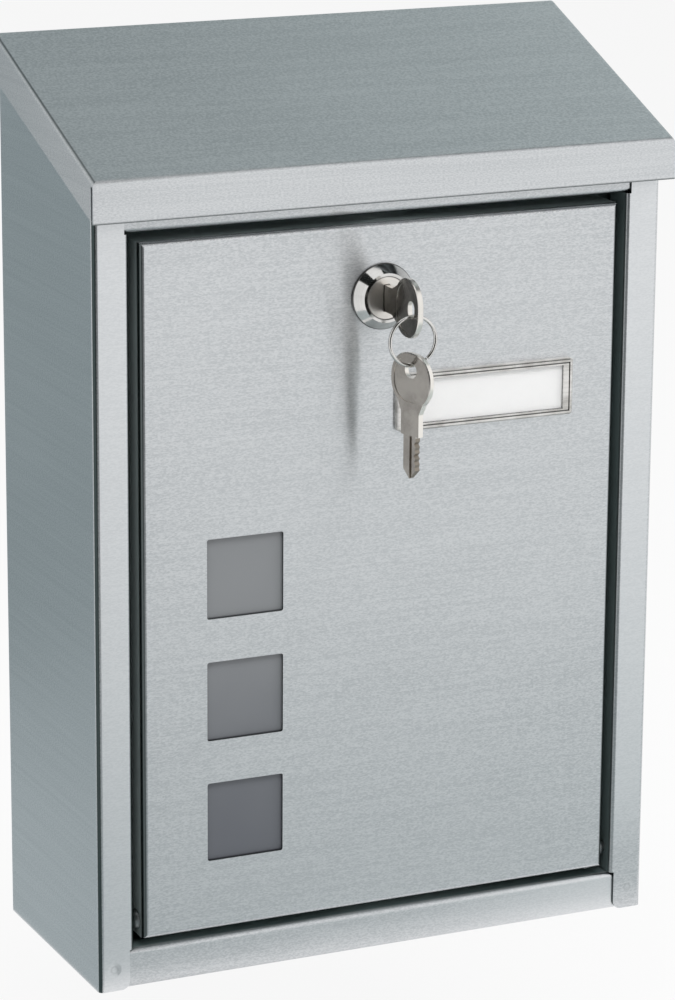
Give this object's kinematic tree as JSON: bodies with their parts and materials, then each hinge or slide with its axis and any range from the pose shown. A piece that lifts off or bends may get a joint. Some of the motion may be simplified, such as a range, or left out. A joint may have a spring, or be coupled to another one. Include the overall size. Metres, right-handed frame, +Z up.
{
  "type": "wall mounted mailbox",
  "caption": "Wall mounted letterbox of folded brushed stainless sheet with a sloped lifting lid, a drop-down locking door, small square windows, a name holder and keys on a ring.",
  "frame": {"origin": "middle of the wall screw holes, on the back face", "axes": "+X to the right seen from the front, +Y into the wall, +Z up; the door faces -Y"},
  "size_m": [0.214, 0.1213, 0.3177],
  "materials": {
    "stainless": "fine horizontal brushing",
    "hinge_steel": "bare rolled steel",
    "lock_chrome": "polished plating",
    "zinc_steel": "zinc plated",
    "wafer_brass": "stamped",
    "key_nickel": "nickel plated, tumbled",
    "ring_wire": "bright drawn wire",
    "smoked_pane": "grey translucent sheet",
    "foam_tape": "double sided foam tape",
    "clear_plastic": "clear moulded plastic",
    "card": "matt white card"
  },
  "bodies": {
    "body": {"body_wrap": "stainless", "bottom_pan": "stainless", "top_rail": "stainless", "door_pivots": "hinge_steel", "hinge_back_leaf": "hinge_steel", "hinge_pin": "hinge_steel"},
    "lid": {"lid_cover": "stainless", "hinge_lid_leaf": "hinge_steel"},
    "door": {"door_panel": "stainless", "window_tape": "foam_tape", "window_pane": "smoked_pane", "name_holder": "clear_plastic", "name_card": "card", "name_cover": "clear_plastic", "name_clips": "zinc_steel", "lock_barrel": "lock_chrome", "lock_washer": "zinc_steel", "lock_nut": "zinc_steel"},
    "plug": {"lock_plug": "lock_chrome", "lock_wafers": "wafer_brass", "stop_washer": "zinc_steel", "lock_cam": "zinc_steel", "cam_screw": "zinc_steel"},
    "key": {"key_in_lock": "key_nickel"},
    "ring": {"key_ring": "ring_wire"},
    "hung_key": {"spare_key": "key_nickel"}
  },
  "joints": [
    {"name": "lid_hinge", "type": "hinge", "parent": "body", "child": "lid", "pos_m": [0, -0.0038, 0.15415], "axis": [-1, 0, 0], "range_deg": [0, 100]},
    {"name": "door_hinge", "type": "hinge", "parent": "body", "child": "door", "pos_m": [0, -0.0815, -0.1372], "axis": [1, 0, 0], "range_deg": [0, 110]},
    {"name": "lock_turn", "type": "hinge", "parent": "door", "child": "plug", "pos_m": [-0.0007, -0.0875, 0.0747], "axis": [0, -1, 0], "range_deg": [0, 90]},
    {"name": "key_pull", "type": "slide", "parent": "plug", "child": "key", "axis": [0, -1, 0], "range_m": [0, 0.025]},
    {"name": "ring_swing", "type": "hinge", "parent": "key", "child": "ring", "pos_m": [-0.0007, -0.1114, 0.0725], "axis": [-1, 0, 0], "range_deg": [-10, 40]},
    {"name": "spare_key_swing", "type": "hinge", "parent": "ring", "child": "hung_key", "pos_m": [-0.0007, -0.1114, 0.0558], "axis": [-1, 0, 0], "range_deg": [-15, 40]}
  ]
}
